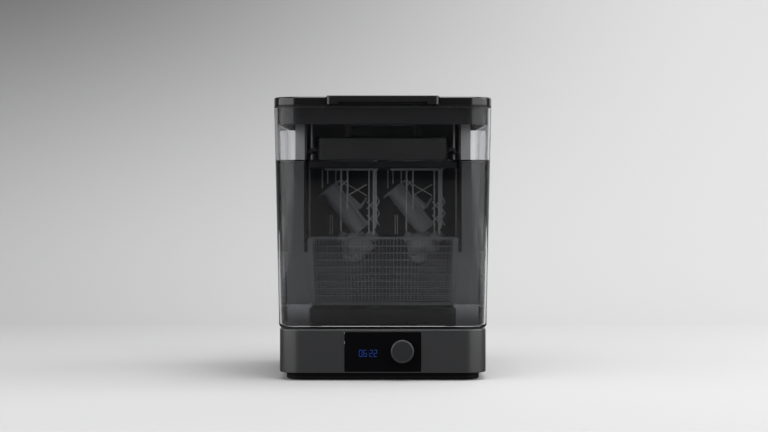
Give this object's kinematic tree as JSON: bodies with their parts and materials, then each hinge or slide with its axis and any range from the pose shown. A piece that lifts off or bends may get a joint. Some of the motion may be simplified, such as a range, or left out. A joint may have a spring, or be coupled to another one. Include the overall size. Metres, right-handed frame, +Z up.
{
  "type": "resin wash station",
  "caption": "Bench-top resin wash station: a clear lift-off tank on a motor base, with a hinged lid, a hanging insert with build platform and wire basket, and a push-and-turn timer knob.",
  "frame": {"origin": "on the surface that the feet stand on, under the middle of the whole unit", "axes": "+Z up, -Y towards the user (the control panel and the lid's finger grip), +X to the user's right"},
  "size_m": [0.287, 0.2848, 0.3723],
  "materials": {
    "base_plastic": "fine satin texture, dark grey",
    "plinth_plastic": "matt black",
    "foot_rubber": "matt",
    "seat_rubber": "matt",
    "screw_steel": "black oxide",
    "panel_gloss": "high gloss black",
    "circuit_board": "green solder mask",
    "display_lens": "smoked lens",
    "encoder_metal": "plated",
    "motor_steel": "zinc plated can",
    "bracket_steel": "plain sheet",
    "switch_plastic": "satin black",
    "rocker_plastic": "polished black",
    "jack_plastic": "satin black",
    "nut_brass": "nickel-free brass",
    "pin_steel": "ground stainless",
    "hub_plastic": "moulded",
    "magnet_nickel": "nickel plated",
    "knob_plastic": "satin grey rim",
    "knob_face": "spun grey face",
    "tank_clear": "clear with a light smoke tint",
    "guard_plastic": "moulded black",
    "impeller_plastic": "moulded black",
    "bush_plastic": "natural acetal",
    "lid_plastic": "fine satin texture, near black",
    "grip_plastic": "satin black",
    "liner_plastic": "smooth",
    "seal_rubber": "soft silicone",
    "arm_plastic": "smooth black",
    "wing_plastic": "smooth mid grey",
    "platform_aluminium": "bead blasted, dark anodised",
    "platform_casting": "black anodised look",
    "handle_plastic": "moulded black",
    "basket_steel": "stainless wire"
  },
  "bodies": {
    "base": {"base_housing": "base_plastic", "bottom_tray": "plinth_plastic", "rubber_feet": "foot_rubber", "tray_screws": "screw_steel", "tank_seats": "seat_rubber", "front_panel": "panel_gloss", "panel_screws": "screw_steel", "control_board": "circuit_board", "board_screws": "screw_steel", "display_module": "display_lens", "encoder_body": "encoder_metal", "motor_body": "motor_steel", "motor_bracket": "bracket_steel", "motor_screws": "screw_steel", "bracket_screws": "screw_steel", "switch_housing": "switch_plastic", "power_inlet": "jack_plastic", "inlet_nut": "nut_brass"},
    "drive_rotor": {"motor_shaft": "pin_steel", "drive_hub": "hub_plastic", "drive_magnets": "magnet_nickel"},
    "plunger": {"encoder_plunger": "encoder_metal"},
    "knob": {"knob": "knob_plastic", "knob_cap": "knob_face", "encoder_shaft": "encoder_metal"},
    "rocker": {"switch_rocker": "rocker_plastic"},
    "tank": {"tank": "tank_clear", "impeller_pin": "pin_steel", "impeller_clip": "pin_steel", "impeller_guard": "guard_plastic"},
    "impeller": {"impeller": "impeller_plastic", "impeller_bush": "bush_plastic", "impeller_magnets": "magnet_nickel"},
    "insert": {"top_frame": "lid_plastic", "insert_seal": "seal_rubber", "hinge_pins": "pin_steel", "left_arm": "arm_plastic", "right_arm": "arm_plastic", "arm_screws": "screw_steel", "back_baffle": "arm_plastic", "baffle_wings": "wing_plastic", "baffle_screws": "screw_steel", "platform_plate": "platform_aluminium", "platform_body": "platform_casting", "platform_screws": "screw_steel", "platform_handle": "handle_plastic", "basket_frame": "basket_steel", "basket_front_mesh": "basket_steel", "basket_back_mesh": "basket_steel", "basket_left_mesh": "basket_steel", "basket_right_mesh": "basket_steel", "basket_floor_mesh": "basket_steel"},
    "lid": {"lid_shell": "lid_plastic", "lid_grip": "grip_plastic", "grip_screws": "screw_steel", "lid_liner": "liner_plastic", "lid_seal": "seal_rubber"}
  },
  "joints": [
    {"name": "tank_lift", "type": "slide", "parent": "base", "child": "tank", "axis": [0, 0, 1], "range_m": [0, 0.08]},
    {"name": "insert_lift", "type": "slide", "parent": "tank", "child": "insert", "axis": [0, 0, 1], "range_m": [0, 0.265]},
    {"name": "lid_hinge", "type": "hinge", "parent": "insert", "child": "lid", "pos_m": [0, 0.13856, 0.3647], "axis": [-1, 0, 0], "range_deg": [0, 100]},
    {"name": "motor_spin", "type": "hinge", "parent": "base", "child": "drive_rotor", "pos_m": [0, 0, 0.053], "axis": [0, 0, 1], "continuous": true},
    {"name": "impeller_spin", "type": "hinge", "parent": "tank", "child": "impeller", "pos_m": [0, 0, 0.078], "axis": [0, 0, 1], "continuous": true},
    {"name": "knob_press", "type": "slide", "parent": "base", "child": "plunger", "axis": [0, 1, 0], "range_m": [0, 0.0008], "stiffness_N_per_m": 1500, "springref_m": -0.0008},
    {"name": "knob_turn", "type": "hinge", "parent": "plunger", "child": "knob", "pos_m": [0.0255, -0.1275, 0.03895], "axis": [0, 1, 0], "continuous": true},
    {"name": "power_switch", "type": "hinge", "parent": "base", "child": "rocker", "pos_m": [0.092, 0.126, 0.0365], "axis": [-1, 0, 0], "range_deg": [0, 14]}
  ],
  "couplings": [
    {"joint": "impeller_spin", "follows": "motor_spin", "ratio": 1}
  ]
}
